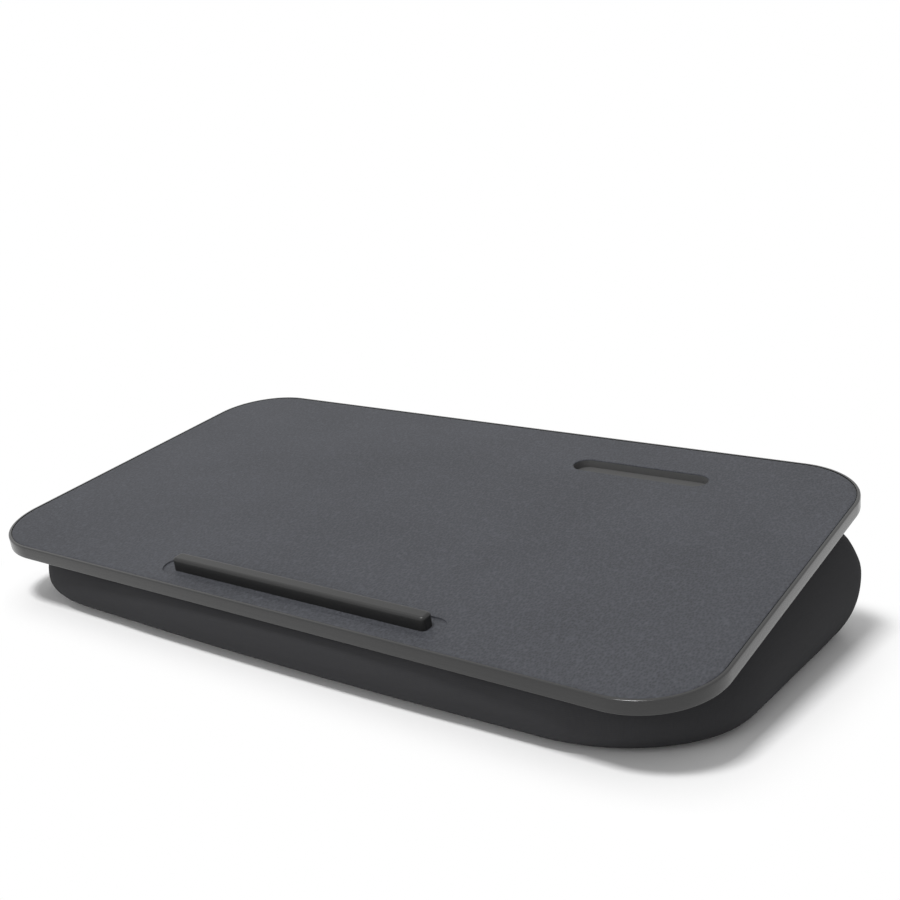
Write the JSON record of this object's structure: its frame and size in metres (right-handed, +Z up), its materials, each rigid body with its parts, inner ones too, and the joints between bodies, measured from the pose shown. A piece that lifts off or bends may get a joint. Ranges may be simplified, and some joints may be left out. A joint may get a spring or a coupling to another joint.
{
  "type": "lap tray with cushion",
  "caption": "Tilted lap tray: a rounded board with edging, a lift-out stop bar and a phone groove, on a wedge cushion whose cover opens with a zip.",
  "frame": {"origin": "on the floor, under the middle of the whole tray", "axes": "+X to the user's right along the board's long side, +Y away from the user, +Z up"},
  "size_m": [0.545, 0.3051, 0.106],
  "materials": {
    "board_core": "dark dyed fibreboard",
    "board_top": "matt grained sheet",
    "board_backing": "matt film",
    "board_edge": "satin edging",
    "stop_bar": "satin rubber",
    "cover_cloth": "smooth stretch knit",
    "base_cloth": "dense woven cloth",
    "lining_cloth": "plain lining",
    "foam": "open-cell foam",
    "hook_tape": "hook pile",
    "loop_tape": "loop pile",
    "zip_tape": "woven tape",
    "zip_teeth": "moulded",
    "zip_metal": "black enamel"
  },
  "bodies": {
    "desk": {"core_panel": "board_core", "top_sheet": "board_top", "backing_sheet": "board_backing", "edge_band": "board_edge", "cushion_cover": "cover_cloth", "base_panel": "base_cloth", "cover_top_panel": "lining_cloth", "foam_core": "foam", "hook_pads": "hook_tape", "loop_pads": "loop_tape", "zip_tapes": "zip_tape", "zip_rows": "zip_teeth", "zip_stops": "zip_metal"},
    "stop_bar": {"stop_bar": "stop_bar"},
    "zip_slider": {"zip_slider": "zip_metal"},
    "zip_pull": {"zip_pull": "zip_metal"}
  },
  "joints": [
    {"name": "stop_bar_lift", "type": "slide", "parent": "desk", "child": "stop_bar", "axis": [0, -0.2079, 0.9781], "range_m": [0, 0.012]},
    {"name": "zip_slide", "type": "slide", "parent": "desk", "child": "zip_slider", "axis": [-1, 0, 0], "range_m": [0, 0.288]},
    {"name": "zip_pull_swing", "type": "hinge", "parent": "zip_slider", "child": "zip_pull", "pos_m": [0.1442, 0.15051, 0.036], "axis": [0, 0, -1], "range_deg": [0, 170]}
  ]
}
